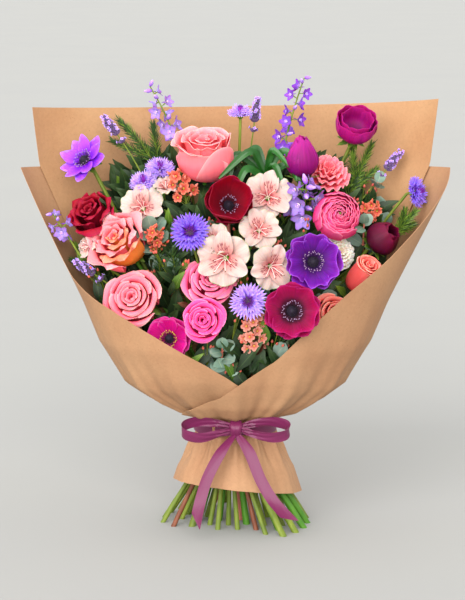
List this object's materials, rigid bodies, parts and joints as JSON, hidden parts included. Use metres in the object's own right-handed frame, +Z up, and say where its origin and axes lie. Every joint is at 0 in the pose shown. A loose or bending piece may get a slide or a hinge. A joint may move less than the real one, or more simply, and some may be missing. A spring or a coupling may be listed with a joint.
{
  "type": "mixed flower bouquet",
  "caption": "Hand-tied mixed bouquet of roses, anemones, lilies, sprays and greenery in two kraft paper sheets with a satin bow, standing on splayed stems.",
  "frame": {"origin": "on the surface the bouquet stands on, under the middle of its box", "axes": "+Z up, the open front of the wrap faces -Y, +X is to the right seen from the front"},
  "size_m": [0.478, 0.2334, 0.5074],
  "materials": {
    "petal_violet": "soft satin petals, violet with paler edges",
    "petal_purple": "soft satin petals, deep purple with paler edges",
    "petal_magenta": "soft satin petals, magenta",
    "petal_crimson": "velvety petals, dark crimson",
    "petal_burgundy": "velvety petals, burgundy",
    "petal_peach": "soft petals, peach pink with deeper hearts",
    "petal_hot_pink": "soft petals, hot pink",
    "petal_pink": "soft petals, pink",
    "petal_coral": "soft petals, coral",
    "petal_cream": "soft petals, cream",
    "petal_lily": "waxy petals, cream pink with salmon throats",
    "petal_lilac": "soft petals, lilac",
    "petal_blue_violet": "soft petals, blue violet",
    "lavender": "fine matte buds, grey violet",
    "waxflower": "waxy petals, pale coral",
    "boss": "velvety, near black",
    "leaf_grey_green": "waxy, grey green",
    "needle_green": "needles, dark green",
    "leaf_green": "glossy, vivid green",
    "stem_green": "matte plant stems, green",
    "kraft_outer": "matte kraft paper",
    "kraft_liner": "matte kraft paper",
    "satin": "satin ribbon, mauve",
    "twine": "matte twine"
  },
  "bodies": {
    "root": {"anemone_burgundy": "petal_burgundy", "anemone_closed": "petal_magenta", "anemone_crimson": "petal_crimson", "anemone_crimson_boss": "boss", "anemone_cup": "petal_magenta", "anemone_left": "petal_crimson", "anemone_low": "petal_magenta", "anemone_low_boss": "boss", "anemone_magenta": "petal_magenta", "anemone_magenta_boss": "boss", "anemone_purple": "petal_purple", "anemone_purple_boss": "boss", "anemone_violet": "petal_violet", "anemone_violet_boss": "boss", "binding_twine": "twine", "carnation_coral": "petal_coral", "carnation_cream": "petal_cream", "cornflower_low": "petal_lilac", "cornflower_pair_high": "petal_lilac", "cornflower_pair_low": "petal_lilac", "cornflower_right": "petal_blue_violet", "cornflower_top": "petal_lilac", "cornflower_violet": "petal_blue_violet", "eucalyptus_left": "leaf_grey_green", "eucalyptus_low": "leaf_grey_green", "eucalyptus_middle_right": "leaf_grey_green", "eucalyptus_right": "leaf_grey_green", "fir_left_low": "needle_green", "fir_left_top": "needle_green", "fir_right": "needle_green", "fir_right_low": "needle_green", "garden_rose": "petal_peach", "larkspur_left": "petal_lilac", "larkspur_left_top": "petal_lilac", "larkspur_middle": "petal_lilac", "larkspur_right_top": "petal_lilac", "lavender_left_low": "lavender", "lavender_left_top": "lavender", "lavender_right": "lavender", "lavender_top": "lavender", "lily_cluster_centre": "petal_lily", "lily_far_left": "petal_lily", "lily_left": "petal_lily", "lily_white": "petal_lily", "paper_liner_sheet": "kraft_liner", "paper_outer_sheet": "kraft_outer", "ranunculus_pink": "petal_pink", "rose_coral": "petal_coral", "rose_left": "petal_peach", "rose_low": "petal_hot_pink", "rose_middle": "petal_hot_pink", "rose_top": "petal_peach", "rosebud_right": "petal_coral", "satin_ribbon": "satin", "stem_bundle": "stem_green", "strap_leaves": "leaf_green", "waxflower_left": "waxflower", "waxflower_low": "waxflower", "waxflower_right": "waxflower", "waxflower_upper": "waxflower"}
  },
  "joints": []
}
